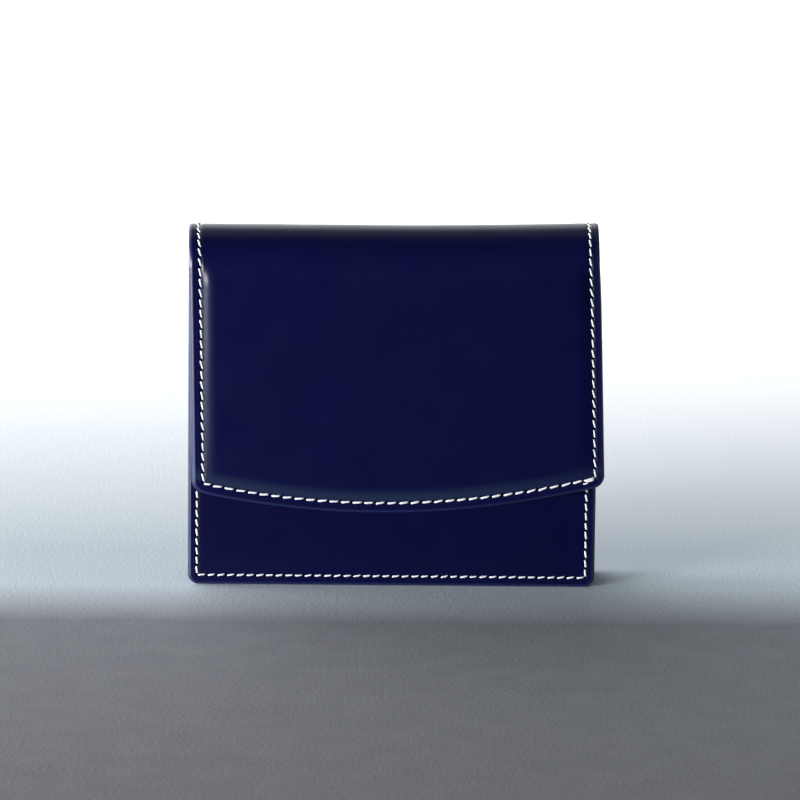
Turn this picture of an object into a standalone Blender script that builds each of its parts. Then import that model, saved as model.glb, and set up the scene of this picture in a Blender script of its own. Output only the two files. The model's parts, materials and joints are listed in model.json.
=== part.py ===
"""A compact leather flap wallet that stands on its base, closed.

The wallet faces -Y and stands on z = 0, with its origin under the middle of the base. The back panel,
divider, card pockets and base are one body. The top fold turns on the back's top edge, the flap turns on
the front edge of the top fold, and the front panel leans forward on its bottom edge.
"""

import math

import bmesh
import bpy
from mathutils import Vector

MM = 0.001

# Driving dimensions, in metres.
BODY_WIDTH = 109.2 * MM
FLAP_WIDTH = 109.6 * MM
DEPTH = 23.5 * MM
HEIGHT = 97.0 * MM
FOLD_RADIUS = 9.0 * MM  # outer radius of the two roundings at the top
FLAP_LOW = 21.0 * MM  # height of the flap's lower edge at its middle
FLAP_SAGITTA = 6.7 * MM  # how much higher that edge is at the sides
FLAP_CORNER_RADIUS = 3.8 * MM
FRONT_TOP = 85.0 * MM
BODY_CORNER_RADIUS = 2.5 * MM

# Sheets and threads.
LEATHER = 1.4 * MM
LINING = 0.5 * MM
PADDING = 0.8 * MM
GUSSET = 0.6 * MM
DIVIDER = 0.8 * MM
BASE = 1.2 * MM
GAP = 0.3 * MM  # clearance between pieces that touch
THREAD_RADIUS = 0.3 * MM
THREAD_GAP = 0.1 * MM
SEAM_INSET = 2.5 * MM

# Hinge lines of the folds. A rounding of radius R keeps its outer length as it opens by a right angle
# when it turns about a line this far inside both of its faces.
FOLD_INSET = FOLD_RADIUS * (1 - math.pi / 4)
HINGE_HEIGHT = HEIGHT - FOLD_INSET
BACK_HINGE_Y = DEPTH / 2 - FOLD_INSET
FRONT_HINGE_Y = -BACK_HINGE_Y

# Where the panels end below the top fold, clear of the roundings as they turn.
FOLD_END = HEIGHT - FOLD_RADIUS
PANEL_TOP = FOLD_END - 1.0 * MM
INNER_TOP = FOLD_END - 1.6 * MM
INNER_BASE = BASE + GAP

# Layers from the outside in, all from their outer face.
FRONT_SLACK = 1.0 * MM  # room between the flap's lining and the front panel, for its seam
FLAP_LAYERS = (("flap_panel", LEATHER), ("flap_padding", PADDING), ("flap_lining", LINING))
FRONT_LAYERS = (("front_panel", LEATHER), ("front_stiffener", PADDING), ("front_lining", LINING))
BACK_LAYERS = (("back_panel", LEATHER), ("back_lining", LINING))

NOTE_ROOM = 4.3 * MM
CARD_POCKETS = 4
CARD_POCKET = 0.5 * MM
CARD_POCKET_WIDTH = 90.0 * MM
CARD_POCKET_TOP = 77.0 * MM
CARD_POCKET_STEP = 12.0 * MM
CARD_SEAM_HEIGHT = 5.0 * MM
DIVIDER_TOP = 87.0 * MM
INNER_MARGIN = 1.2 * MM  # how far the linings stop short of the leather's edge
MAGNET_RADIUS = 6.0 * MM
MAGNET_HEIGHT = 36.0 * MM
GUSSET_FOLD = 7.4 * MM  # how far a side gusset folds in

ARC_STEPS = 6
COLLECTION = "flap_wallet"

COLOURS = {
    "leather": ((0.0045, 0.005, 0.040, 1), 0.5, 0.0),
    "lining": ((0.008, 0.009, 0.050, 1), 0.7, 0.0),
    "thread": ((0.88, 0.88, 0.88, 1), 0.6, 0.0),
    "board": ((0.35, 0.30, 0.24, 1), 0.9, 0.0),
    "magnet": ((0.60, 0.60, 0.60, 1), 0.3, 1.0),
}


def clear_scene():
    for obj in list(bpy.data.objects):
        bpy.data.objects.remove(obj, do_unlink=True)


def make_material(node, kind):
    colour, roughness, metallic = COLOURS[kind]
    material = bpy.data.materials.new(node)
    material.use_nodes = True
    shader = material.node_tree.nodes["Principled BSDF"]
    shader.inputs["Base Color"].default_value = colour
    shader.inputs["Roughness"].default_value = roughness
    shader.inputs["Metallic"].default_value = metallic
    return material


def add_object(name, data, kind, centre, axis, rotation=(0, 0, 0)):
    """Links an object at a world place, as a child of the empty on its hinge line if it has one."""
    obj = bpy.data.objects.new(name, data)
    bpy.data.collections[COLLECTION].objects.link(obj)
    obj.rotation_euler = rotation
    obj.location = Vector(centre) - (Vector(axis.location) if axis else Vector())
    obj.parent = axis
    data.materials.append(make_material(name, kind))
    return obj


def add_axis(name, location):
    empty = bpy.data.objects.new(name, None)
    empty.empty_display_size = 0.01
    empty.location = location
    bpy.data.collections[COLLECTION].objects.link(empty)
    return empty


def rounded(corners, closed=True):
    """Points along a run of (u, v, radius) corners, with an arc at each corner that has a radius."""
    points = []
    for index, (u, v, radius) in enumerate(corners):
        inside = closed or 0 < index < len(corners) - 1
        if radius == 0 or not inside:
            points.append(Vector((u, v)))
            continue
        corner = Vector((u, v))
        before = (Vector(corners[index - 1][:2]) - corner).normalized()
        after = (Vector(corners[(index + 1) % len(corners)][:2]) - corner).normalized()
        half = before.angle(after) / 2
        reach = radius / math.tan(half)
        centre = corner + (before + after).normalized() * (radius / math.sin(half))
        start = corner + before * reach - centre
        end = corner + after * reach - centre
        sweep = start.angle(end)
        for step in range(ARC_STEPS + 1):
            share = step / ARC_STEPS
            weight = math.sin((1 - share) * sweep), math.sin(share * sweep)
            points.append(centre + (start * weight[0] + end * weight[1]) / math.sin(sweep))
    return points


def sheet(name, outline, y_front, thickness, kind, axis=None, hole=None):
    """A flat sheet parallel to the front, with its outline in x and z."""
    curve = bpy.data.curves.new(name, "CURVE")
    curve.dimensions = "2D"
    curve.fill_mode = "BOTH"
    curve.extrude = thickness / 2
    for run in (outline, hole) if hole else (outline,):
        spline = curve.splines.new("POLY")
        spline.points.add(len(run) - 1)
        for point, (x, z) in zip(spline.points, run):
            point.co = (x, z - (axis.location.z if axis else 0), 0, 1)
        spline.use_cyclic_u = True
    centre = (0, y_front + thickness / 2, axis.location.z if axis else 0)
    return add_object(name, curve, kind, centre, axis, (math.pi / 2, 0, 0))


def thread(name, points, axis=None):
    """A sewn seam's thread as one thin tube through the given places."""
    curve = bpy.data.curves.new(name, "CURVE")
    curve.dimensions = "3D"
    curve.bevel_depth = THREAD_RADIUS
    curve.bevel_resolution = 1
    curve.use_fill_caps = True
    origin = Vector(axis.location) if axis else Vector()
    spline = curve.splines.new("POLY")
    spline.points.add(len(points) - 1)
    for point, place in zip(spline.points, points):
        point.co = (*(Vector(place) - origin), 1)
    return add_object(name, curve, "thread", origin, axis)


def disc(name, y_front, thickness, kind, axis=None):
    """A round magnet with its axis along y."""
    mesh = bpy.data.meshes.new(name)
    builder = bmesh.new()
    bmesh.ops.create_cone(
        builder,
        cap_ends=True,
        segments=32,
        radius1=MAGNET_RADIUS,
        radius2=MAGNET_RADIUS,
        depth=thickness,
    )
    builder.to_mesh(mesh)
    builder.free()
    centre = (0, y_front + thickness / 2, MAGNET_HEIGHT)
    return add_object(name, mesh, kind, centre, axis, (math.pi / 2, 0, 0))


def layer_faces(outer_face, inward, layers):
    """Each layer's name, front face and thickness, from an outer face inwards (+1 towards +Y)."""
    found, edge = {}, outer_face
    for name, thickness in layers:
        far = edge + inward * thickness
        found[name] = (min(edge, far), thickness)
        edge = far + inward * GAP
    return found


def panel_outline(width, low, high, radius):
    """A panel with a straight top and two rounded bottom corners."""
    half = width / 2
    return rounded([(-half, high, 0), (-half, low, radius), (half, low, radius), (half, high, 0)])


def flap_edge(inset):
    """The flap's side, lower arc and other side, this far inside its edge, as (x, z, radius) corners."""
    half, low = FLAP_WIDTH / 2 - inset, FLAP_LOW + inset
    rise = FLAP_SAGITTA
    arc_radius = ((FLAP_WIDTH / 2) ** 2 + rise**2) / (2 * rise)
    xs = [half * (2 * i / 14 - 1) for i in range(15)]
    zs = [low + arc_radius - math.sqrt(arc_radius**2 - x**2) for x in xs]
    corner = max(FLAP_CORNER_RADIUS - inset, FLAP_CORNER_RADIUS / 3)
    radii = [corner] + [0] * 13 + [corner]
    return [(-half, PANEL_TOP, 0), *zip(xs, zs, radii), (half, PANEL_TOP, 0)]


def magnet_hole():
    radius = MAGNET_RADIUS + GAP
    turns = [2 * math.pi * i / 32 for i in range(32)]
    return [(radius * math.cos(t), MAGNET_HEIGHT + radius * math.sin(t)) for t in turns]


def fold_profile(outer, inner):
    """The closed outline, in y and z, of a strip over the top between two depths from its outer face."""
    flat = DEPTH / 2 - FOLD_RADIUS

    def over(depth):
        radius = FOLD_RADIUS - depth
        quarter = [math.pi / 2 * i / ARC_STEPS for i in range(ARC_STEPS + 1)]
        front = [(-flat - radius * math.cos(t), FOLD_END + radius * math.sin(t)) for t in quarter]
        back = [(-y, z) for y, z in reversed(front)]
        return front + back

    return over(outer) + list(reversed(over(inner)))


def fold_strip(name, width, outer, inner, kind, axis):
    """A strip of leather or lining bent over the top, with the roundings at its front and back."""
    curve = bpy.data.curves.new(name, "CURVE")
    curve.dimensions = "2D"
    curve.fill_mode = "BOTH"
    curve.extrude = width / 2
    profile = fold_profile(outer, inner)
    spline = curve.splines.new("POLY")
    spline.points.add(len(profile) - 1)
    for point, (y, z) in zip(spline.points, profile):
        point.co = (y - axis.location.y, z - axis.location.z, 0, 1)
    spline.use_cyclic_u = True
    turned = (math.pi / 2, 0, math.pi / 2)
    return add_object(name, curve, kind, axis.location, axis, turned)


def gusset(name, side, y_back, y_front, high):
    """A side gusset: one sheet folded once towards the middle of the wallet."""
    edge_x = BODY_WIDTH / 2 - 0.6 * MM
    fold_x = edge_x - GUSSET_FOLD
    run = [(edge_x, y_back), (fold_x, (y_back + y_front) / 2), (edge_x, y_front)]
    mesh = bpy.data.meshes.new(name)
    builder = bmesh.new()
    low_row = [builder.verts.new((side * x, y, INNER_BASE)) for x, y in run]
    high_row = [builder.verts.new((side * x, y, high)) for x, y in run]
    for i in range(2):
        builder.faces.new((low_row[i], low_row[i + 1], high_row[i + 1], high_row[i]))
    builder.to_mesh(mesh)
    builder.free()
    obj = add_object(name, mesh, "leather", (0, 0, 0), None)
    solid = obj.modifiers.new("thickness", "SOLIDIFY")
    solid.thickness = GUSSET
    solid.offset = 0
    return obj


def base_strip(y_front, y_back):
    mesh = bpy.data.meshes.new("base_strip")
    builder = bmesh.new()
    bmesh.ops.create_cube(builder, size=1)
    size = (BODY_WIDTH - 2 * INNER_MARGIN, y_back - y_front, BASE)
    bmesh.ops.scale(builder, vec=size, verts=builder.verts)
    builder.to_mesh(mesh)
    builder.free()
    add_object("base_strip", mesh, "leather", (0, (y_front + y_back) / 2, BASE / 2), None)


def panel_seam(name, y, high, axis=None):
    """The seam down one side of a body panel, along its bottom and up the other side."""
    half = BODY_WIDTH / 2 - SEAM_INSET
    radius = BODY_CORNER_RADIUS / 2
    corners = [
        (-half, high, 0),
        (-half, SEAM_INSET, radius),
        (half, SEAM_INSET, radius),
        (half, high, 0),
    ]
    thread(name, [(x, y, z) for x, z in rounded(corners, closed=False)], axis)


def build_back():
    layers = layer_faces(DEPTH / 2, -1, BACK_LAYERS)
    y, thickness = layers["back_panel"]
    outline = panel_outline(BODY_WIDTH, 0, PANEL_TOP, BODY_CORNER_RADIUS)
    sheet("back_panel", outline, y, thickness, "leather")
    panel_seam("back_seam_thread", DEPTH / 2 + THREAD_GAP + THREAD_RADIUS, PANEL_TOP - GAP)
    y, thickness = layers["back_lining"]
    width = BODY_WIDTH - 2 * INNER_MARGIN
    outline = panel_outline(width, INNER_BASE, INNER_TOP, BODY_CORNER_RADIUS / 2)
    sheet("back_lining", outline, y, thickness, "lining")
    return y


def build_divider(note_back):
    """The divider with its stepped card pockets. It returns the frontmost card seam's face."""
    width = BODY_WIDTH - 2 * INNER_MARGIN
    y = note_back - NOTE_ROOM - DIVIDER
    outline = panel_outline(width, INNER_BASE, DIVIDER_TOP, BODY_CORNER_RADIUS / 2)
    sheet("divider_panel", outline, y, DIVIDER, "leather")
    divider_face = y
    for i in range(CARD_POCKETS):
        y -= GAP + CARD_POCKET
        high = CARD_POCKET_TOP - i * CARD_POCKET_STEP
        outline = panel_outline(CARD_POCKET_WIDTH, INNER_BASE, high, BODY_CORNER_RADIUS / 2)
        sheet(f"card_pocket_{i + 1}", outline, y, CARD_POCKET, "leather")
    seam_y = y - THREAD_GAP - THREAD_RADIUS
    half = CARD_POCKET_WIDTH / 2 - SEAM_INSET
    corners = [
        (-half, high - GAP, 0),
        (-half, CARD_SEAM_HEIGHT, BODY_CORNER_RADIUS / 2),
        (half, CARD_SEAM_HEIGHT, BODY_CORNER_RADIUS / 2),
        (half, high - GAP, 0),
    ]
    thread("card_pocket_thread", [(x, seam_y, z) for x, z in rounded(corners, closed=False)])
    return divider_face


def build_front(axis, face):
    """The front pocket's wall, which leans forward. It returns the wall's inner face."""
    layers = layer_faces(face, 1, FRONT_LAYERS)
    y, thickness = layers["front_panel"]
    outline = panel_outline(BODY_WIDTH, 0, FRONT_TOP, BODY_CORNER_RADIUS)
    sheet("front_panel", outline, y, thickness, "leather", axis)
    panel_seam("front_seam_thread", y - THREAD_GAP - THREAD_RADIUS, FRONT_TOP - GAP, axis)
    width = BODY_WIDTH - 2 * INNER_MARGIN
    outline = panel_outline(width, INNER_BASE, FRONT_TOP - GAP, BODY_CORNER_RADIUS / 2)
    y, thickness = layers["front_stiffener"]
    sheet("front_stiffener", outline, y, thickness, "board", axis, magnet_hole())
    disc("front_magnet", y, thickness, "magnet", axis)
    y, thickness = layers["front_lining"]
    sheet("front_lining", outline, y, thickness, "lining", axis)
    return y + thickness


def build_flap(axis):
    """The flap in front of the front panel. It returns its lining's inner face."""
    layers = layer_faces(-DEPTH / 2, 1, FLAP_LAYERS)
    y, thickness = layers["flap_panel"]
    sheet("flap_panel", rounded(flap_edge(0)), y, thickness, "leather", axis)
    inner = rounded(flap_edge(INNER_MARGIN))
    inner = [(x, min(z, INNER_TOP)) for x, z in inner]
    seam_y = y - THREAD_GAP - THREAD_RADIUS
    path = rounded(flap_edge(SEAM_INSET), closed=False)
    thread("flap_seam_thread", [(x, seam_y, z) for x, z in path], axis)
    y, thickness = layers["flap_padding"]
    sheet("flap_padding", inner, y, thickness, "board", axis, magnet_hole())
    disc("flap_magnet", y, thickness, "magnet", axis)
    y, thickness = layers["flap_lining"]
    sheet("flap_lining", inner, y, thickness, "lining", axis)
    return y + thickness


def build_top_fold(axis):
    fold_strip("top_fold", FLAP_WIDTH, 0, LEATHER, "leather", axis)
    lining_width = FLAP_WIDTH - 2 * INNER_MARGIN
    lining_outer = LEATHER + GAP
    fold_strip("top_fold_lining", lining_width, lining_outer, lining_outer + LINING, "lining", axis)
    path = fold_profile(-THREAD_GAP - THREAD_RADIUS, 0)[: 2 * (ARC_STEPS + 1)]
    for side, word in ((-1, "left"), (1, "right")):
        x = side * (FLAP_WIDTH / 2 - SEAM_INSET)
        thread(f"fold_thread_{word}", [(x, y, z) for y, z in path], axis)


def build_gussets(note_back, divider_face, front_inner):
    room = GAP + GUSSET
    for side, word in ((-1, "left"), (1, "right")):
        divider_back = divider_face + DIVIDER
        gusset(f"rear_gusset_{word}", side, note_back - room, divider_back + room, INNER_TOP)
        front_high = FRONT_TOP - 2 * MM
        gusset(f"front_gusset_{word}", side, divider_face - room, front_inner + room, front_high)


def build():
    clear_scene()
    collection = bpy.data.collections.new(COLLECTION)
    bpy.context.scene.collection.children.link(collection)
    fold_axis = add_axis("fold_axis", (0, BACK_HINGE_Y, HINGE_HEIGHT))
    flap_axis = add_axis("flap_axis", (0, FRONT_HINGE_Y, HINGE_HEIGHT))
    flap_inner = build_flap(flap_axis)
    front_face = flap_inner + FRONT_SLACK
    front_axis = add_axis("front_axis", (0, front_face, 0))
    build_top_fold(fold_axis)
    front_inner = build_front(front_axis, front_face)
    note_back = build_back()
    divider_face = build_divider(note_back)
    build_gussets(note_back, divider_face, front_inner)
    base_strip(front_inner - LINING - GAP - PADDING, DEPTH / 2 - LEATHER - GAP)


build()
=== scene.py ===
"""The looks of a compact leather flap wallet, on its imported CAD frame.

The leather is built as stitched sheets with rounded, painted edges. Lengths are metres, in the frame of
the CAD model: +Z is up and the flap faces -Y.
"""

import json
import math

import bmesh
import bpy
import numpy as np
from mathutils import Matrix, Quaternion, Vector


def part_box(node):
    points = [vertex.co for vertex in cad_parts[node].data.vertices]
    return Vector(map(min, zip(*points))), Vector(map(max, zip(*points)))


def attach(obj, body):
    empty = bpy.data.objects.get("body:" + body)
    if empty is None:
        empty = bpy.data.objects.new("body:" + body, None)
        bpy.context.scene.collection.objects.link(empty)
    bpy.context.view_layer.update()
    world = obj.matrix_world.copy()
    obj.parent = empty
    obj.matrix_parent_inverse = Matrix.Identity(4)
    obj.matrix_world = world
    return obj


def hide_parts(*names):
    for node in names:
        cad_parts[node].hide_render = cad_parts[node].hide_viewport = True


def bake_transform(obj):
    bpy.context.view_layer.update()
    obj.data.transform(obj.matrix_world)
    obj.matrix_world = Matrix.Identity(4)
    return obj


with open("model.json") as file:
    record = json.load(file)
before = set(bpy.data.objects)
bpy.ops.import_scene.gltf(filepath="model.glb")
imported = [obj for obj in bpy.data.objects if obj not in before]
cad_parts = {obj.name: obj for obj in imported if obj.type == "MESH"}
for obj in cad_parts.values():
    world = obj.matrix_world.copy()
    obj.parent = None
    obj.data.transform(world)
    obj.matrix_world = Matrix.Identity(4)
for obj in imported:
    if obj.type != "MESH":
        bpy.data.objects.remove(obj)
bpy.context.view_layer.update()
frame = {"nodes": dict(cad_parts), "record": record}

MM = 0.001

# Places read from the CAD frame.
FLAP_LOW, FLAP_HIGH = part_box("flap_panel")
FOLD_LOW, FOLD_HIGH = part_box("top_fold")
BACK_LOW, BACK_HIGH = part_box("back_panel")
FRONT_LOW, FRONT_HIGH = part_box("front_panel")
BASE_LOW, BASE_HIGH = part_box("base_strip")
HALF_DEPTH = FOLD_HIGH[1]
TOP = FOLD_HIGH[2]
FOLD_RADIUS = TOP - FOLD_LOW[2]
FOLD_FLAT = HALF_DEPTH - FOLD_RADIUS
FOLD_LENGTH = FOLD_FLAT + FOLD_RADIUS * math.pi / 2

# How the leather is made.
SHELL = 2.4 * MM  # leather, padding and lining together
FRONT_SHELL = 2.8 * MM
PADDING = 0.9 * MM  # how far the flap's foam stands up
MAGNET_BULGE = 0.4 * MM
EDGE = 1.1 * MM  # rounding of the leather's painted edges
INSET = 2.5 * MM  # seam to edge
GROOVE = 0.18 * MM  # how far a seam is pulled in
GROOVE_WIDTH = 0.62 * MM
CREASE_INSET = 1.35 * MM  # the creased line between a seam and the edge
CREASE = 0.07 * MM
CREASE_WIDTH = 0.2 * MM
TOP_SHARPNESS = 0.18  # how much of the rounded edge is left on top, where the leather is pulled tight
GUSSET = 0.6 * MM
BASE_ROUNDING = 0.4 * MM

# How the seams are sewn.
THREAD = 0.28 * MM  # thread radius
SIDE_THREAD = 0.255 * MM  # the rows down the sides are pulled tighter and look finer
END_THREAD = 0.235 * MM  # and so do the rows along the body's lower edge
THREAD_FLATNESS = 0.85
THREAD_TURN = 1.5 * MM  # the thread's three strands turn once in this length
STRANDS, STRAND_RELIEF = 3, 0.10
TOP_STITCH_SINK = 0.16 * MM  # the first stitches behind the top are pulled in tightly
SHORT = 0.34 * MM  # how far a stitch stops before its needle hole
SIDE_SHORT = 0.27 * MM
SLANT = 0.13 * MM  # how far a stitch's ends lie off the seam's line
SIDE_SLANT = 0.20 * MM
FRONT_SLANT = 0.12 * MM
STITCH_WANDER = 0.05 * MM  # how much the stitches' lengths differ
HOLE = 0.27 * MM
HOLE_LIFT = 0.035 * MM  # a needle hole's disc lies this far over the leather in its middle
HOLE_FALL = 0.03 * MM  # and its rim is this much lower
DIMPLE, DIMPLE_WIDTH = 0.17 * MM, 0.5 * MM  # how the leather sinks around a needle hole
FLAP_PITCH = 2.8 * MM
FLAP_LOW_PITCH = 3.12 * MM
BODY_PITCH = 2.58 * MM
CARD_PITCH = 2.4 * MM
FRONT_SEAM_START = 1.6 * MM  # below the front panel's upper edge
CARD_SEAM_START = 1.5 * MM
CARD_STEP_GAP = 1 * MM
CARD_SEAM_END = 5 * MM  # the height of the lowest card pocket's seam

# How closely the sheets are divided.
FINEST = 0.13 * MM
FINE = 0.26 * MM
COARSE = 0.55 * MM

# How the soft leather departs from the CAD model's straight lines.
TOP_CROWN = 0.8 * MM
TOP_DROP = 0.3 * MM
TOP_RISE = 1.0 * MM  # the top's right end stands a little higher
TOP_NARROWING = 0.5 * MM
TOP_FADE = 22 * MM  # how far down the top's shape can still be seen
FLAP_SKEW = 1.75 * MM  # the flap hangs to the right
FLAP_TILT = 0.028  # and its right end is higher than its left one
FLAP_FLARE = 0.013
FLAP_LEFT_SEAM = 0.8 * MM  # how much further in the flap's left seam lies
FLAP_RISE = 6.7 * MM  # how much higher its lower edge is at the sides than in the middle
FLAP_LIFT = 0.3 * MM
BODY_SPREAD = 0.0042
PAD_AND_HIGHLIGHT_END = 70 * MM  # how far down the flap its padding and its painted highlight bands fade


def smooth_step(value, low, high):
    t = np.clip((value - low) / (high - low), 0, 1)
    return t * t * (3 - 2 * t)


def over_top(side):
    """Places a sheet that leaves the middle of the top towards the front (-1) or the back (+1)."""

    def place(x, s, n):
        turn = np.clip((s - FOLD_FLAT) / FOLD_RADIUS, 0, math.pi / 2)
        past = np.maximum(s - FOLD_LENGTH, 0)
        y = side * (np.minimum(s, FOLD_FLAT) + (FOLD_RADIUS + n) * np.sin(turn))
        z = TOP - FOLD_RADIUS + (FOLD_RADIUS + n) * np.cos(turn) - past
        over = np.exp(-((past / TOP_FADE) ** 2))
        z = z + TOP_RISE * (np.maximum(x, 0) / FOLD_HIGH[0]) ** 1.6 * over
        z = z + TOP_CROWN * (1 - smooth_step(s, 0, FOLD_FLAT + 4 * MM)) - TOP_DROP * over
        narrowed = np.maximum(x, 0) / FOLD_HIGH[0] * (1 - smooth_step(s, 0, FOLD_LENGTH + 12 * MM))
        return np.stack([x - TOP_NARROWING * narrowed, y, z], -1)

    return place


def upright(y, side, top):
    """Places a sheet that hangs straight down from a height, with its outer face at y."""

    def place(x, s, n):
        return np.stack([x, y + side * n + 0 * x, top - s], -1)

    return place


def spread(place):
    """The body's left side stands out a little, more so towards the base."""

    def placed(x, s, n):
        points = place(x, s, n)
        down = np.clip(1 - points[..., 2] / TOP, 0, 1)
        points[..., 0] -= BODY_SPREAD * (BACK_HIGH[0] - x) * (0.3 + 0.7 * down)
        return points

    return placed


def flap_drape(place):
    """The flap hangs a little to the right and flares out towards its lower edge."""

    def draped(x, s, n):
        points = place(x, s, n)
        low = np.clip((s - FOLD_LENGTH) / (TOP - FLAP_LOW[2]), 0, 1)
        points[..., 0] += FLAP_SKEW * low**0.9 + x * FLAP_FLARE * low
        from_seam = (x + FLAP_HIGH[0] - INSET) / (2 * MM)
        points[..., 0] += FLAP_LEFT_SEAM * np.exp(-(from_seam**2)) * smooth_step(s, 0, FOLD_LENGTH)
        points[..., 2] += FLAP_TILT * x * low
        return points

    return draped


class Sheet:
    """A leather sheet with a rounded edge: x runs across, s along, and n is the height over its face."""

    def __init__(
        self,
        name,
        half,
        end,
        place,
        side,
        corner,
        thickness=SHELL,
        rise=0.0,
        starts_with_edge=False,
        end_inset=INSET,
        groove=GROOVE,
        crease=CREASE,
        edge=EDGE,
        step=COARSE,
        pad=None,
        # worn: a mask where the colour is painted lighter as a highlight
        worn=None,
        bulge=None,
    ):
        self.name, self.half, self.end, self.place, self.side = name, half, end, place, side
        self.corner, self.thickness, self.rise = corner, thickness, rise
        self.starts_with_edge, self.end_inset = starts_with_edge, end_inset
        self.groove, self.crease, self.radius, self.step = groove, crease, edge, step
        self.pad, self.worn, self.bulge = pad, worn, bulge
        self.holes = np.zeros((0, 2))
        self.fine_end = INSET + 1.6 * MM if groove else 1.5 * MM  # finely divided up to here
        self.end_zone = INSET + 4 * MM if groove else 2 * MM  # rows that follow the end's shape
        self.corner_x = self.corner_touch = half - corner
        for _ in range(4):
            self.corner_angle = math.atan(self.slope(self.corner_touch))
            self.corner_touch = self.corner_x + corner * math.sin(self.corner_angle)
        self.corner_s = self.end_line(self.corner_touch) - corner * math.cos(self.corner_angle)

    def end_line(self, x):
        """The end's shallow arc, as s at x, without the rounded corners."""
        return self.end - self.rise * (x / self.half) ** 2

    def slope(self, x):
        """How steep the end line is at x."""
        return 2 * self.rise * np.abs(x) / self.half**2

    def end_distance(self, x, s):
        """Distance to the end line."""
        return (self.end_line(x) - s) / np.sqrt(1 + self.slope(x) ** 2)

    def far(self, x):
        """Where the sheet ends at x, with its rounded corners."""
        across = np.abs(x)
        round_part = np.sqrt(np.maximum(self.corner**2 - (across - self.corner_x) ** 2, 0))
        return np.where(across <= self.corner_touch, self.end_line(across), self.corner_s + round_part)

    def edge_distance(self, x, s):
        """Distance to the sheet's outline."""
        across = np.abs(x)
        distance = np.minimum(self.half - across, self.end_distance(x, s))
        off_x, off_s = across - self.corner_x, s - self.corner_s
        along = off_x * math.cos(self.corner_angle) - off_s * math.sin(self.corner_angle)
        cornered = (off_x > 0) & (along > 0) & (off_s > 0)
        distance = np.where(cornered, self.corner - np.hypot(off_x, off_s), distance)
        if self.starts_with_edge:
            distance = np.minimum(distance, s)
        return np.maximum(distance, 0)

    def sink(self, distance):
        """How far the rounded edge has dropped from the face at this distance from the outline."""
        inward = self.radius - np.clip(distance, 0, self.radius)
        return self.radius - np.sqrt(np.maximum(self.radius**2 - inward**2, 0))

    def seam_distance(self, x, s):
        """Distance to the seam, which follows the sides and the end but not the start."""
        sides = self.half - np.abs(x) - INSET
        return np.minimum(sides, self.end_distance(x, s) - self.end_inset)

    def height(self, x, s):
        """The outer face's height, without the needle holes' dimples."""
        distance = self.edge_distance(x, s)
        seam = self.seam_distance(x, s)
        sharp = 1.0
        if not self.starts_with_edge:
            sharp = TOP_SHARPNESS + (1 - TOP_SHARPNESS) * smooth_step(s, 0, FOLD_LENGTH)
        face = -self.sink(distance) * sharp
        face = face - self.groove * np.exp(-((seam / GROOVE_WIDTH) ** 2))
        face = face - self.crease * np.exp(-(((distance - CREASE_INSET) / CREASE_WIDTH) ** 2))
        if self.pad:
            face = face + self.pad(x, s, seam)
        return face

    def inner_face(self, x, s):
        """The inner face's height."""
        return -self.thickness - (self.bulge(x, s) if self.bulge else np.zeros_like(x))

    def dimples(self, x, s):
        """How far the outer face is pulled in around the needle holes."""
        depth = np.zeros_like(x)
        near = np.abs(self.seam_distance(x, s)) < 1.6 * MM
        if not len(self.holes) or not near.any():
            return depth
        points = np.stack([x[near], s[near]], -1)
        closest = np.full(len(points), np.inf)
        for hole in self.holes:
            closest = np.minimum(closest, ((points - hole) ** 2).sum(1))
        depth[near] = DIMPLE * np.exp(-closest / DIMPLE_WIDTH**2)
        return depth

    def spacing(self, length, from_edge):
        """Distances from an edge to a length: close on the rounding, fine by the seam, then coarse."""
        steps = []
        if from_edge:
            steps = [self.radius * (1 - math.cos(i * math.pi / 16)) for i in range(8)]
            crease_end = CREASE_INSET + 0.45 * MM if self.crease else 0
            steps += list(np.arange(self.radius, crease_end, FINEST))
            steps += list(np.arange(max(crease_end, self.radius), self.fine_end, FINE))
        start = steps[-1] + FINE if steps else 0.0
        count = max(2, round((length - start) / self.step))
        return np.array(steps + list(np.linspace(start, length, count + 1)))

    def grid(self):
        """The places (x, s) of the sheet's points. The last rows follow its end, with its corners."""
        offsets = self.spacing(self.half, True)
        columns = np.concatenate([offsets - self.half, (self.half - offsets)[::-1][1:]])
        rows_end = self.end - self.spacing(self.end_zone, True)[::-1]
        rows_start = self.spacing(self.end - self.end_zone, self.starts_with_edge)[:-1]
        rows = np.concatenate([rows_start, rows_end])
        x, nominal = np.meshgrid(columns, rows, indexing="ij")
        lost = self.end - self.far(x)
        body = self.end - self.end_zone
        s = np.where(nominal < body, nominal * (body - lost) / body, nominal - lost)
        return x, s

    def build(self, material):
        """The mesh: an outer and an inner face with rounded edges, joined by the sheet's cut edge."""
        x, s = self.grid()
        distance = self.edge_distance(x, s)
        outer = self.place(x, s, self.height(x, s) - self.dimples(x, s))
        inner = self.place(x, s, self.inner_face(x, s) + self.sink(distance))
        across, along = x.shape
        index = np.arange(across * along).reshape(across, along)
        inner_index = index + across * along
        turn = self.side < 0
        around = np.stack([outline_of(index, self.starts_with_edge)] * 2)
        around[1] += across * along
        faces = np.concatenate([quads(index, turn), quads(inner_index, not turn), quads(around, turn)])
        points = np.concatenate([outer.reshape(-1, 3), inner.reshape(-1, 3)])
        rim = 1 - smooth_step(distance, 0.55 * self.radius, 0.95 * self.radius)
        none = np.zeros_like(x)
        # Painted highlight: a lighter colour is mixed in where this mask is set.
        worn = self.worn(x, s) if self.worn else none
        facts = {"rim": (rim, rim), "inside": (none, none + 1), "worn": (worn, none)}
        values = {key: np.concatenate([face.ravel() for face in facts[key]]) for key in facts}
        return mesh_object(self.name, points, faces, values, material)

    def sew(self, points):
        """Adds needle holes, so that the leather dimples there."""
        self.holes = np.concatenate([self.holes, np.array(points)])


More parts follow.
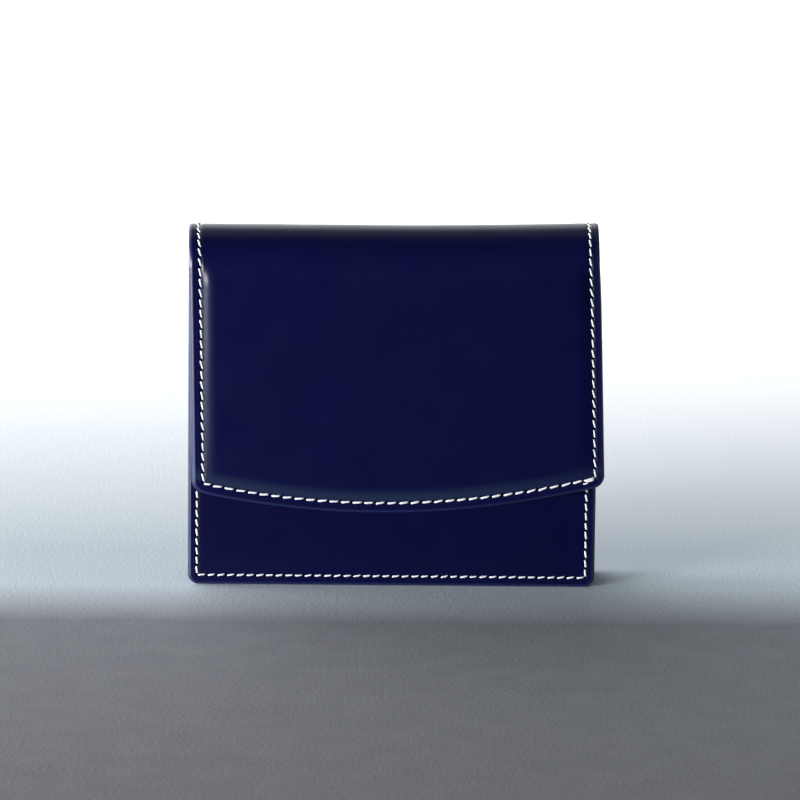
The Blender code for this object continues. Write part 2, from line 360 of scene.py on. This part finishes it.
def outline_of(index, closed):
    """The grid's outline: down its first row, along its end, up its last row, and back if closed."""
    runs = [index[0], index[1:, -1], index[-1, -2::-1]]
    if closed:
        runs.append(index[-2::-1, 0])
    return np.concatenate(runs)


def quads(index, turn):
    """The four-sided faces between a grid's points, facing the other way if turned."""
    a, b, c, d = index[:-1, :-1], index[:-1, 1:], index[1:, 1:], index[1:, :-1]
    order = (a, b, c, d) if turn else (a, d, c, b)
    return np.stack([part.ravel() for part in order], -1)


def add_object(name, data):
    obj = bpy.data.objects.new(name, data)
    bpy.context.scene.collection.objects.link(obj)
    return obj


def mesh_object(name, points, faces, values, material):
    """A smooth mesh object from arrays, without the points that no face uses."""
    used, faces = np.unique(faces, return_inverse=True)
    faces = faces.reshape(-1, 4)
    mesh = bpy.data.meshes.new(name)
    mesh.from_pydata(np.asarray(points)[used].tolist(), [], faces.tolist())
    for key, numbers in values.items():
        attribute = mesh.attributes.new(key, "FLOAT", "POINT")
        attribute.data.foreach_set("value", np.asarray(numbers)[used].astype(np.float32))
    mesh.polygons.foreach_set("use_smooth", [True] * len(mesh.polygons))
    mesh.update()
    mesh.materials.append(material)
    return add_object(name, mesh)


def seam_runs(sheet, side_pitch, end_pitch, start=0.0):
    """Needle holes down the left side, along the end and up the right side, in (x, s)."""

    def end_place(x):
        return x, float(sheet.end_line(x) - sheet.end_inset * np.sqrt(1 + sheet.slope(x) ** 2))

    side_x, corner_s = end_place(sheet.half - INSET)
    down = max(1, round((corner_s - start) / side_pitch))
    left = [(-side_x, start + (corner_s - start) * i / down) for i in range(down + 1)]
    right = [(side_x, s) for _, s in reversed(left)]
    count = max(1, round(2 * side_x / end_pitch))
    end = [end_place(side_x * (2 * i / count - 1)) for i in range(count + 1)]
    return [left, end, right]


class Threads:
    """Collects stitches and needle holes, and makes one mesh of them."""

    SIDES, RINGS = 12, 13

    def __init__(self):
        self.points, self.faces, self.dark, self.count = [], [], [], 0
        self.random = np.random.default_rng(11)

    def tube(self, centres, normals, radii):
        """A twisted thread through the given places; radii is one radius for each place."""
        tangents = np.gradient(centres, axis=0)
        tangents /= np.linalg.norm(tangents, axis=1, keepdims=True)
        across = np.cross(tangents, normals)
        across /= np.linalg.norm(across, axis=1, keepdims=True)
        up = np.cross(across, tangents)
        angle = np.linspace(0, 2 * math.pi, self.SIDES, endpoint=False)
        length = np.concatenate([[0], np.cumsum(np.linalg.norm(np.diff(centres, axis=0), axis=1))])
        twisted = angle[None] - length[:, None] * 2 * math.pi / THREAD_TURN
        size = radii[:, None] * (1 + STRAND_RELIEF * np.cos(STRANDS * twisted))
        ring = centres[:, None] + (size * np.cos(angle))[..., None] * across[:, None]
        ring = ring + (size * THREAD_FLATNESS * np.sin(angle))[..., None] * up[:, None]
        index = self.count + np.arange(len(centres) * self.SIDES).reshape(len(centres), self.SIDES)
        index = np.concatenate([index, index[:, :1]], 1)
        self.add(ring.reshape(-1, 3), quads(index, False), 0.0)

    def add(self, points, faces, dark):
        self.points.append(points)
        self.faces.append(faces)
        self.dark.append(np.full(len(points), dark))
        self.count += len(points)

    def stitch(self, sheet, start, end, face=1, lift=0.0, slant=SLANT, short=SHORT, radius=THREAD):
        """One stitch from hole to hole. face is 1 on the sheet's outer face and -1 on its inner one."""
        start, end = np.array(start), np.array(end)
        along = (end - start) / np.linalg.norm(end - start)
        aside = np.array([along[1], -along[0]]) * slant * (1 + 0.25 * self.random.normal())
        low, high = start + along * short - aside, end - along * short + aside
        high = high + along * STITCH_WANDER * self.random.normal()
        t = np.linspace(0, 1, self.RINGS)
        to_end = np.abs(2 * t - 1)  # 0 in the stitch's middle and 1 at its two ends
        curl = 0.7 * np.sign(2 * t - 1) * to_end**4
        line = low + (high - low) * t[:, None] + aside * curl[:, None]
        base = self.face_height(sheet, line[:, 0], line[:, 1], face)
        arch = radius * (0.62 - 2.3 * to_end**7) + lift  # the ends dive into the needle holes
        centres = sheet.place(line[:, 0], line[:, 1], base + face * arch)
        above = sheet.place(line[:, 0], line[:, 1], base + face * (arch + MM))
        radii = radius * (1.08 - 0.2 * t - 0.35 * to_end**6)
        self.tube(centres, (above - centres) / MM, radii)

    def hole(self, sheet, place, face):
        """A needle hole: a small disc that lies on the leather, painted dark as the shade inside the
        hole.
        """
        angle = np.linspace(0, 2 * math.pi, self.SIDES + 1)
        rings = []
        for share in (0.0, 1.0):
            x = place[0] + share * HOLE * np.cos(angle)
            s = place[1] + share * HOLE * np.sin(angle)
            base = self.face_height(sheet, x, s, face)
            rings.append(sheet.place(x, s, base + face * (HOLE_LIFT - HOLE_FALL * share)))
        index = self.count + np.arange(2 * len(angle)).reshape(2, len(angle))
        turn = (sheet.side * face) > 0
        # The disc is marked for the painted hole shade.
        self.add(np.concatenate(rings), quads(index, turn), 1.0)

    @staticmethod
    def face_height(sheet, x, s, face):
        """The height of the sheet's outer face (1) or inner face (-1)."""
        return sheet.height(x, s) if face > 0 else sheet.inner_face(x, s)

    def run(self, sheet, holes, face=1, slant=SLANT, radius=THREAD, short=SHORT):
        """A whole row of stitches through a row of holes."""
        for start, end in zip(holes[:-1], holes[1:]):
            behind_top = sheet.side > 0 and min(start[1], end[1]) < MM
            lift = -TOP_STITCH_SINK if behind_top else 0.0
            self.stitch(sheet, start, end, face, lift, slant, short, radius)
        for place in holes:
            if sheet.starts_with_edge or place[1] > MM:
                self.hole(sheet, place, face)

    def build(self, name):
        points, faces = np.concatenate(self.points), np.concatenate(self.faces)
        return mesh_object(name, points, faces, {"dark": np.concatenate(self.dark)}, THREAD_WHITE)


# ---------------------------------------------------------------- materials


class Nodes:
    """A short way to build a material's node tree."""

    def __init__(self, name):
        self.material = bpy.data.materials.new(name)
        self.material.use_nodes = True
        self.tree = self.material.node_tree
        self.shader = self.tree.nodes["Principled BSDF"]

    def add(self, kind, settings=None, **inputs):
        node = self.tree.nodes.new("ShaderNode" + kind)
        for key, value in (settings or {}).items():
            setattr(node, key, value)
        for key, value in inputs.items():
            self.set(node.inputs[key.replace("_", " ")], value)
        return node

    def set(self, socket, value):
        if isinstance(value, bpy.types.NodeSocket):
            self.tree.links.new(value, socket)
        else:
            socket.default_value = value

    def place(self):
        return self.add("TexCoord").outputs["Object"]

    def fact(self, name):
        return self.add("Attribute", {"attribute_name": name}).outputs["Fac"]

    def noise(self, scale, detail=3.0, roughness=0.5):
        settings = {"Scale": scale, "Detail": detail, "Roughness": roughness}
        return self.add("TexNoise", Vector=self.place(), **settings).outputs["Fac"]

    def pores(self, scale):
        return self.add("TexVoronoi", Vector=self.place(), Scale=scale).outputs["Distance"]

    def ranged(self, value, low, high, to_low=0.0, to_high=1.0):
        ends = {"From_Min": low, "From_Max": high, "To_Min": to_low, "To_Max": to_high}
        return self.add("MapRange", Value=value, **ends).outputs["Result"]

    def math(self, operation, a, b):
        node = self.add("Math", {"operation": operation})
        self.set(node.inputs[0], a)
        self.set(node.inputs[1], b)
        return node.outputs["Value"]

    def mix(self, share, a, b):
        node = self.add("Mix", {"data_type": "RGBA"})
        self.set(node.inputs[0], share)
        self.set(node.inputs[6], a)
        self.set(node.inputs[7], b)
        return node.outputs[2]

    def bump(self, height, distance, strength=1.0, normal=None):
        node = self.add("Bump", Height=height, Distance=distance, Strength=strength)
        if normal:
            self.set(node.inputs["Normal"], normal)
        return node.outputs["Normal"]


def leather(name, base, deep, paint, lining, roughness=0.31, specular=0.25, grain=1.0):
    """Smooth dyed leather: fine pores, faint tone changes, painted edges, painted highlight bands and a
    matt inner side.
    """
    n = Nodes(name)
    rim, inside = n.fact("rim"), n.fact("inside")
    colour = n.mix(n.ranged(n.noise(38.0, 4.0), 0.35, 0.65), deep, base)
    colour = n.mix(inside, colour, lining)
    # Painted highlight: a lighter, greenish navy mixed in by the highlight mask.
    colour = n.mix(n.fact("worn"), colour, PAINTED_HIGHLIGHT_COLOUR)
    painted = n.math("MULTIPLY", rim, n.ranged(n.noise(700.0, 3.0), 0.3, 0.7, 0.6, 1.0))
    colour = n.mix(painted, colour, paint)
    n.set(n.shader.inputs["Base Color"], colour)
    rough = n.ranged(n.noise(120.0, 3.0), 0.3, 0.7, roughness - 0.03, roughness + 0.03)
    rough = n.math("ADD", rough, n.math("MULTIPLY", inside, 0.3))
    rough = n.math("ADD", rough, n.math("MULTIPLY", rim, 0.06))
    n.set(n.shader.inputs["Roughness"], rough)
    n.set(n.shader.inputs["Specular IOR Level"], n.ranged(rim, 0.0, 1.0, specular, 0.6))
    folds = n.bump(n.noise(260.0, 2.0), 0.05 * MM * grain, 0.5)
    pores = n.bump(n.pores(2600.0), 0.012 * MM * grain, 0.5, folds)
    fine = n.bump(n.noise(5200.0, 2.0), 0.008 * MM * grain, 0.5, pores)
    n.set(n.shader.inputs["Normal"], fine)
    return n.material


def thread_material(name):
    """Waxed white thread: fibres along the twist, and needle holes painted dark as shade."""
    n = Nodes(name)
    fibres = n.noise(6500.0, 2.0, 0.6)
    shade = n.ranged(n.noise(420.0, 2.0), 0.3, 0.7)
    colour = n.mix(shade, (0.80, 0.80, 0.82, 1), (0.95, 0.95, 0.94, 1))
    colour = n.mix(n.ranged(fibres, 0.35, 0.65, 0.25, 0.0), colour, (0.55, 0.55, 0.60, 1))
    dark = n.fact("dark")
    # Painted shade: the needle holes' discs take the dark hole colour.
    colour = n.mix(dark, colour, NEEDLE_HOLE_SHADE)
    n.set(n.shader.inputs["Base Color"], colour)
    n.set(n.shader.inputs["Roughness"], n.ranged(fibres, 0.3, 0.7, 0.5, 0.7))
    n.set(n.shader.inputs["Specular IOR Level"], n.ranged(dark, 0.0, 1.0, 0.25, 0.0))
    n.set(n.shader.inputs["Normal"], n.bump(fibres, 0.04 * MM, 0.6))
    return n.material


def plated_metal(name):
    """Brushed nickel."""
    n = Nodes(name)
    brushed = n.noise(900.0, 3.0)
    n.set(n.shader.inputs["Base Color"], n.mix(brushed, (0.5, 0.5, 0.52, 1), (0.7, 0.7, 0.72, 1)))
    n.set(n.shader.inputs["Metallic"], 1.0)
    n.set(n.shader.inputs["Roughness"], n.ranged(brushed, 0.3, 0.7, 0.2, 0.4))
    n.set(n.shader.inputs["Normal"], n.bump(brushed, 0.02 * MM, 0.4))
    return n.material


def fibre_board(name, light, dark):
    """A rough, fibrous sheet such as bonded board or dense foam."""
    n = Nodes(name)
    fibres = n.noise(1400.0, 5.0, 0.7)
    n.set(n.shader.inputs["Base Color"], n.mix(n.ranged(fibres, 0.3, 0.7), dark, light))
    n.set(n.shader.inputs["Roughness"], n.ranged(fibres, 0.3, 0.7, 0.75, 0.95))
    n.set(n.shader.inputs["Normal"], n.bump(fibres, 0.1 * MM, 0.6))
    return n.material


def stage_material(name):
    """A pale floor with painted light: a pale bluish band close in front of the wallet and painted shade
    far in front of it; behind the wallet it turns white and glows as a backdrop.
    """
    n = Nodes(name)
    depth = n.add("SeparateXYZ", Vector=n.place()).outputs["Y"]
    behind = n.ranged(depth, 0.03, 0.45)
    near = n.ranged(depth, -0.045, -0.008)
    painted_shade_ahead = n.ranged(depth, -0.5, -0.05)
    colour = n.mix(n.noise(90.0, 5.0), (0.24, 0.24, 0.26, 1), (0.32, 0.32, 0.34, 1))
    # Painted shade: the floor darkens far in front of the wallet.
    colour = n.mix(painted_shade_ahead, (0.08, 0.08, 0.09, 1), colour)
    # Painted light: a pale, bluish band on the floor close in front of the wallet.
    colour = n.mix(near, colour, (0.74, 0.82, 0.86, 1))
    n.set(n.shader.inputs["Base Color"], n.mix(behind, colour, (0.9, 0.9, 0.9, 1)))
    n.set(n.shader.inputs["Roughness"], 0.9)
    n.set(n.shader.inputs["Specular IOR Level"], 0.1)
    n.set(n.shader.inputs["Emission Color"], (1, 1, 1, 1))
    n.set(n.shader.inputs["Emission Strength"], behind)
    n.set(n.shader.inputs["Normal"], n.bump(n.noise(900.0, 5.0), 0.2 * MM, 0.4))
    return n.material


NAVY = (0.0004, 0.0010, 0.035, 1)
NAVY_DEEP = (0.0003, 0.0008, 0.031, 1)
# Painted shade: the front panel, below the flap, gets a darker copy of the navy leather.
NAVY_FRONT_SHADED = (0.0002, 0.0007, 0.027, 1)
# Painted highlight: the lighter colour of the bands by the flap's seams.
PAINTED_HIGHLIGHT_COLOUR = (0.010, 0.019, 0.052, 1)
PAINT = (0.004, 0.012, 0.078, 1)
LINING = (0.006, 0.007, 0.055, 1)
# Painted shade: the dark of a needle hole's inside, on a disc over the leather.
NEEDLE_HOLE_SHADE = (0.0006, 0.0007, 0.012, 1)
OUTER = leather("navy_outer_leather", NAVY, NAVY_DEEP, PAINT, LINING)
# The front panel's leather: the navy leather made darker, as painted shade below the flap.
FRONT_SHADED_OUTER = leather("navy_front_leather_shaded", NAVY_FRONT_SHADED, NAVY_DEEP, PAINT, LINING, 0.31, 0.20)
POCKETS = leather("navy_pocket_leather", NAVY, NAVY_DEEP, PAINT, LINING, 0.42, 0.16, 1.6)
THREAD_WHITE = thread_material("white_waxed_thread")


# ---------------------------------------------------------------- pieces


def bevelled(distance, width, softness):
    """A straight slope from 0 up to 1 over the width, with a soft upper end."""
    over = softness * np.logaddexp(0, (distance - width) / softness)
    return np.clip(distance - over, 0, None) / width


def padding(x, s, seam):
    """The flap's thin foam: it rises from the seam and fades out towards the top fold."""
    end = FLAP.end_distance(x, s) - FLAP.end_inset
    side = FLAP.half - INSET - np.abs(x)
    sides = bevelled(side - 0.3 * MM, 2.9 * MM, 0.35 * MM)
    low = np.tanh(np.maximum(end - 0.2 * MM, 0) / (2.4 * MM))
    high = smooth_step(s, FOLD_LENGTH - 3 * MM, FOLD_LENGTH + 5 * MM)
    high = high * (1.2 - 0.95 * np.clip((s - FOLD_LENGTH) / PAD_AND_HIGHLIGHT_END, 0, 1) ** 0.8)
    wander = 1 + 0.10 * np.sin(s / (9 * MM) + 0.8) + 0.06 * np.sin(s / (4.1 * MM) + x / (30 * MM))
    return PADDING * sides * low * high * wander


def soft_panel(depth):
    """A panel that swells a very little in its middle."""

    def swell(x, s, seam):
        inside = np.maximum(seam - 0.3 * MM, 0)
        return depth * (1 - np.exp(-inside / (3 * MM))) * (1 + 0.1 * np.sin(x / (14 * MM)))

    return swell


def worn_bands(x, s):
    """Painted highlight: lighter colour in bands above the flap's lower seam and beside its left seam,
    where the padding's slopes catch the light.
    """
    end = FLAP.end_distance(x, s) - FLAP.end_inset
    low = smooth_step(end, 0.2 * MM, 0.8 * MM) * (1 - smooth_step(end, 1.2 * MM, 4.4 * MM))
    low = low * (1 - 0.45 * smooth_step(x, 15 * MM, 50 * MM))
    side = x + FLAP.half - INSET - FLAP_LEFT_SEAM
    left = smooth_step(side, 0, 0.6 * MM) * (1 - smooth_step(side, 1.5 * MM, 4.4 * MM))
    left = left * smooth_step(s, FOLD_LENGTH, FOLD_LENGTH + 5 * MM) * (end > 0)
    fading = 1 - 0.8 * np.clip((s - FOLD_LENGTH) / PAD_AND_HIGHLIGHT_END, 0, 1)
    return np.maximum(low, 0.8 * left * fading)


def over_magnet(x, s):
    """The flap's lining stands up a little over the magnet that is sewn in behind it."""
    low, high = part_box("flap_magnet")
    middle = FOLD_LENGTH + TOP - FOLD_RADIUS - (low[2] + high[2]) / 2
    away = np.hypot(x + FLAP_SKEW / 2, s - middle) - (high[0] - low[0]) / 2
    return MAGNET_BULGE * (1 - smooth_step(away, 1.2 * MM, 3.2 * MM))


FLAP = Sheet(
    "flap_shell",
    FLAP_HIGH[0],
    FOLD_LENGTH + TOP - FOLD_RADIUS - FLAP_LOW[2] - FLAP_LIFT,
    flap_drape(over_top(-1)),
    side=-1,
    rise=FLAP_RISE,
    corner=3.6 * MM,
    end_inset=2.9 * MM,
    pad=padding,
    # Painted highlight bands by the flap's seams.
    worn=worn_bands,
    bulge=over_magnet,
)
BACK = Sheet(
    "back_shell",
    BACK_HIGH[0],
    FOLD_LENGTH + TOP - FOLD_RADIUS - BACK_LOW[2],
    spread(over_top(1)),
    side=1,
    corner=3.2 * MM,
)
FRONT = Sheet(
    "front_shell",
    FRONT_HIGH[0],
    FRONT_HIGH[2] - FRONT_LOW[2],
    spread(upright(FRONT_LOW[1], -1, FRONT_HIGH[2])),
    side=-1,
    thickness=FRONT_SHELL,
    corner=2.9 * MM,
    starts_with_edge=True,
    end_inset=2.8 * MM,
    groove=0.09 * MM,
    pad=soft_panel(0.05 * MM),
)


def inner_sheet(node):
    """A thin creased leather sheet inside the wallet, as large as its CAD node."""
    low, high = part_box(node)
    return Sheet(
        node + "_leather",
        high[0],
        high[2] - low[2],
        upright(low[1], -1, high[2]),
        side=-1,
        thickness=high[1] - low[1],
        corner=1.2 * MM,
        starts_with_edge=True,
        groove=0.0,
        crease=0.05 * MM,
        edge=0.2 * MM,
        step=1.6 * MM,
    )


CARD_NODES = [f"card_pocket_{i}" for i in range(1, 5)]


def build_pockets():
    """The divider, its four stepped card pockets, and the row of stitches on each step's two sides."""
    tops = [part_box(node)[1][2] for node in CARD_NODES]
    threads = Threads()
    made = {"divider_panel": inner_sheet("divider_panel").build(POCKETS)}
    for i, node in enumerate(CARD_NODES):
        sheet = inner_sheet(node)
        made[node] = sheet.build(POCKETS)
        side_x = sheet.half - INSET
        lowest = node == CARD_NODES[-1]
        length = tops[i] - (CARD_SEAM_END if lowest else tops[i + 1] + CARD_STEP_GAP)
        count = round((length - CARD_SEAM_START) / CARD_PITCH)
        step = (length - CARD_SEAM_START) / count
        rows = [CARD_SEAM_START + step * k for k in range(count + 1)]
        threads.run(sheet, [(-side_x, s) for s in rows])
        threads.run(sheet, [(side_x, s) for s in reversed(rows)])
        if lowest:
            count = round(2 * side_x / CARD_PITCH)
            threads.run(sheet, [(side_x * (2 * k / count - 1), length) for k in range(count + 1)])
    made["card_pocket_thread"] = threads.build("card_stitches")
    return made


def build_gusset(node, side):
    """A side gusset: thin leather with one soft fold towards the middle of the wallet."""
    low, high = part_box(node)
    mouth = side * ((high[0] if side > 0 else -low[0]) - GUSSET / 2)
    fold = side * ((low[0] if side > 0 else -high[0]) + GUSSET)
    middle, reach = (low[1] + high[1]) / 2, (high[1] - low[1]) / 2 - GUSSET / 2
    turns = np.linspace(-1, 1, 33)
    sharp = math.sqrt(0.02)
    opening = (np.sqrt(turns**2 + sharp**2) - sharp) / (math.sqrt(1 + sharp**2) - sharp)
    line = np.stack([fold + (mouth - fold) * opening, middle + reach * turns], -1)
    slope = np.gradient(line, axis=0)
    slope /= np.linalg.norm(slope, axis=1, keepdims=True)
    out = np.stack([slope[:, 1], -slope[:, 0]], -1) * GUSSET / 2
    ring = np.concatenate([line + out, (line - out)[::-1], (line + out)[:1]])
    levels = np.linspace(low[2], high[2], 24)
    soft = side * 0.25 * MM * np.sin(levels * 90)
    x = ring[None, :, 0] - soft[:, None]
    points = np.stack([x, ring[None, :, 1] + 0 * x, levels[:, None] + 0 * x], -1)
    index = np.arange(x.size).reshape(x.shape)
    count = len(turns)
    cap = np.stack([index[:, :count], index[:, count : 2 * count][:, ::-1]])
    faces = np.concatenate([quads(index, True), quads(cap[:, -1], True), quads(cap[:, 0], False)])
    return mesh_object(node + "_leather", points.reshape(-1, 3), faces, {}, POCKETS)


def build_base():
    """The strip that joins front and back along the bottom, with softly rounded edges."""
    size = [BASE_HIGH[i] - BASE_LOW[i] for i in range(3)]
    centre = [(BASE_HIGH[i] + BASE_LOW[i]) / 2 for i in range(3)]
    mesh = bpy.data.meshes.new("base_strip_leather")
    builder = bmesh.new()
    bmesh.ops.create_cube(builder, size=1)
    bmesh.ops.scale(builder, vec=size, verts=builder.verts)
    bmesh.ops.translate(builder, vec=centre, verts=builder.verts)
    rounding = {"offset": BASE_ROUNDING, "segments": 4, "profile": 0.5}
    bmesh.ops.bevel(builder, geom=builder.edges, affect="EDGES", **rounding)
    for face in builder.faces:
        face.smooth = True
    builder.to_mesh(mesh)
    builder.free()
    mesh.materials.append(POCKETS)
    return add_object("base_strip_leather", mesh)


def locking_stitch(threads, sheet, holes):
    """The seam's last stitches are sewn over twice, with a short cut tail."""
    last, before = np.array(holes[-1]), np.array(holes[-2])
    over = {"lift": 0.25 * MM, "slant": 0.05 * MM, "short": 0.15 * MM, "radius": THREAD * 1.1}
    threads.stitch(sheet, before, last, **over)
    beside_before, beside_last = before + (0.3 * MM, 0.35 * MM), last + (0, 0.3 * MM)
    threads.stitch(sheet, beside_before, beside_last, lift=0.2 * MM, slant=-0.1 * MM)
    tail_start, tail_end = before + (-0.1 * MM, 1.0 * MM), before + (1.3 * MM, 0.5 * MM)
    tail = {"lift": 0.1 * MM, "slant": 0.0, "short": 0.05 * MM, "radius": THREAD * 0.8}
    threads.stitch(sheet, tail_start, tail_end, **tail)


def build_shells():
    """The flap's, the back's and the front's sheets, each with its stitches."""
    seams = (
        (FLAP, seam_runs(FLAP, FLAP_PITCH, FLAP_LOW_PITCH)),
        (BACK, seam_runs(BACK, FLAP_PITCH, BODY_PITCH)),
        (FRONT, seam_runs(FRONT, BODY_PITCH, BODY_PITCH, start=FRONT_SEAM_START)),
    )
    made = {}
    for sheet, runs in seams:
        threads = Threads()
        end_row = runs[1]
        for holes in runs:
            sheet.sew(holes)
            if holes is end_row:
                threads.run(sheet, holes, radius=THREAD if sheet is FLAP else END_THREAD)
            elif sheet is FRONT:
                threads.run(sheet, holes, slant=FRONT_SLANT)
            else:
                threads.run(sheet, holes, slant=SIDE_SLANT, radius=SIDE_THREAD, short=SIDE_SHORT)
        if sheet is FLAP:
            locking_stitch(threads, sheet, end_row)
            for holes in runs:
                threads.run(sheet, holes, face=-1)
        # The front panel gets the darker copy of the leather, as painted shade.
        face = FRONT_SHADED_OUTER if sheet is FRONT else OUTER
        made[sheet.name] = (sheet.build(face), threads.build(sheet.name + "_stitches"))
    return made


def across_fold(objects, side):
    """Bakes each piece's transform into its mesh; both sides of the top fold are treated alike."""
    for obj in objects:
        if side < 0:
            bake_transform(obj)
        else:
            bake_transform(obj)


def dress():
    """Builds every visual piece with its material, hides the CAD nodes it stands in for, and hangs the
    front, pocket, base and rear gusset pieces on bodies.
    """
    shells = build_shells()
    flap, flap_stitches = shells["flap_shell"]
    back, back_stitches = shells["back_shell"]
    front, front_stitches = shells["front_shell"]
    across_fold([flap, flap_stitches], -1)
    across_fold([back, back_stitches], 1)
    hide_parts("flap_panel", "flap_padding", "flap_lining", "top_fold", "top_fold_lining")
    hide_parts("flap_seam_thread", "fold_thread_left", "fold_thread_right")
    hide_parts("back_panel", "back_lining")
    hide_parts("back_seam_thread")
    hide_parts("front_panel", "front_stiffener", "front_lining")
    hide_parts("front_seam_thread")
    for piece in (front, front_stitches):
        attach(piece, "front")
    for node, piece in build_pockets().items():
        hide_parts(node)
        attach(piece, "body")
    base = build_base()
    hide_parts("base_strip")
    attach(base, "body")
    for side, word in ((-1, "left"), (1, "right")):
        for end in ("rear", "front"):
            node = f"{end}_gusset_{word}"
            piece = build_gusset(node, side)
            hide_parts(node)
            if end == "rear":
                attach(piece, "body")
            else:
                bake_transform(piece)


def dress_cad_nodes():
    """Materials for the CAD nodes that stay."""
    looks = {
        "navy_leather": POCKETS,
        "navy_lining": POCKETS,
        "white_thread": THREAD_WHITE,
        "magnet": plated_metal("nickel_magnet"),
        "fibre_board": fibre_board("bonded_board", (0.40, 0.33, 0.26, 1), (0.28, 0.22, 0.17, 1)),
        "foam_sheet": fibre_board("dense_foam", (0.12, 0.12, 0.13, 1), (0.07, 0.07, 0.08, 1)),
    }
    slots = {part["node"]: part["material_slot"] for part in frame["record"]["subparts"]}
    for node, obj in frame["nodes"].items():
        obj.data.materials.clear()
        obj.data.materials.append(looks[slots[node]])


# ---------------------------------------------------------------- stage, camera and light


SKY_DIM, SKY_LOW = (0.72, 0.88, 1.0, 1), 0.16
SKY_BRIGHT, SKY_HIGH = (0.96, 0.96, 1.0, 1), 3.0
SKY_FALLOFF = 4.8
BRIGHT_SIDE = (-0.6, 0.8, 0.0)


def area_light(name, place, target, size, power):
    data = bpy.data.lights.new(name, "AREA")
    data.shape = "RECTANGLE"
    data.size, data.size_y = size
    data.energy = power
    light = add_object(name, data)
    light.location = place
    light.rotation_euler = (Vector(target) - Vector(place)).to_track_quat("-Z", "Y").to_euler()


def add_floor():
    mesh = bpy.data.meshes.new("floor")
    builder = bmesh.new()
    bmesh.ops.create_grid(builder, x_segments=2, y_segments=2, size=3.0)
    builder.to_mesh(mesh)
    builder.free()
    mesh.materials.append(stage_material("pale_floor"))
    floor = add_object("floor", mesh)


def add_world():
    """White behind the wallet and to its left, falling off steeply to dim and bluish elsewhere."""
    world = bpy.data.worlds.new("studio")
    bpy.context.scene.world = world
    world.use_nodes = True
    tree = world.node_tree
    background = tree.nodes["Background"]
    colour = tree.nodes.new("ShaderNodeMixRGB")
    colour.inputs["Color1"].default_value = SKY_DIM
    colour.inputs["Color2"].default_value = SKY_BRIGHT
    place = tree.nodes.new("ShaderNodeTexCoord")
    dot = tree.nodes.new("ShaderNodeVectorMath")
    dot.operation = "DOT_PRODUCT"
    dot.inputs[1].default_value = BRIGHT_SIDE
    shade = tree.nodes.new("ShaderNodeMapRange")
    shade.inputs["From Min"].default_value = 0.0
    shade.inputs["From Max"].default_value = 0.85
    steeper = tree.nodes.new("ShaderNodeMath")
    steeper.operation = "POWER"
    steeper.inputs[1].default_value = SKY_FALLOFF
    strength = tree.nodes.new("ShaderNodeMapRange")
    strength.inputs["To Min"].default_value = SKY_LOW
    strength.inputs["To Max"].default_value = SKY_HIGH
    tree.links.new(place.outputs["Generated"], dot.inputs[0])
    tree.links.new(dot.outputs["Value"], shade.inputs["Value"])
    tree.links.new(shade.outputs["Result"], steeper.inputs[0])
    tree.links.new(shade.outputs["Result"], colour.inputs["Fac"])
    tree.links.new(colour.outputs["Color"], background.inputs["Color"])
    tree.links.new(steeper.outputs["Value"], strength.inputs["Value"])
    tree.links.new(strength.outputs["Result"], background.inputs["Strength"])


def add_camera():
    elevation, distance, roll = math.radians(12.9), 1.44, math.radians(0.48)
    target = Vector((0.0018, 0, 0.0498))
    away = Vector((0, -math.cos(elevation), math.sin(elevation)))
    data = bpy.data.cameras.new("camera")
    data.lens = 241
    data.sensor_width = 36
    camera = add_object("camera", data)
    camera.location = target + away * distance
    look = (-away).to_track_quat("-Z", "Y")
    camera.rotation_euler = (Quaternion(away, roll) @ look).to_euler()
    bpy.context.scene.camera = camera


def light_scene():
    middle = (0, 0, TOP / 2)
    area_light("side", (-0.82, -0.70, 0.09), middle, (0.40, 0.17), 18.0)
    area_light("edge", (-1.05, 0.18, 0.12), middle, (0.40, 0.30), 14.0)
    bpy.context.scene.view_settings.view_transform = "Standard"


add_camera()
dress_cad_nodes()
dress()
add_floor()
add_world()
light_scene()
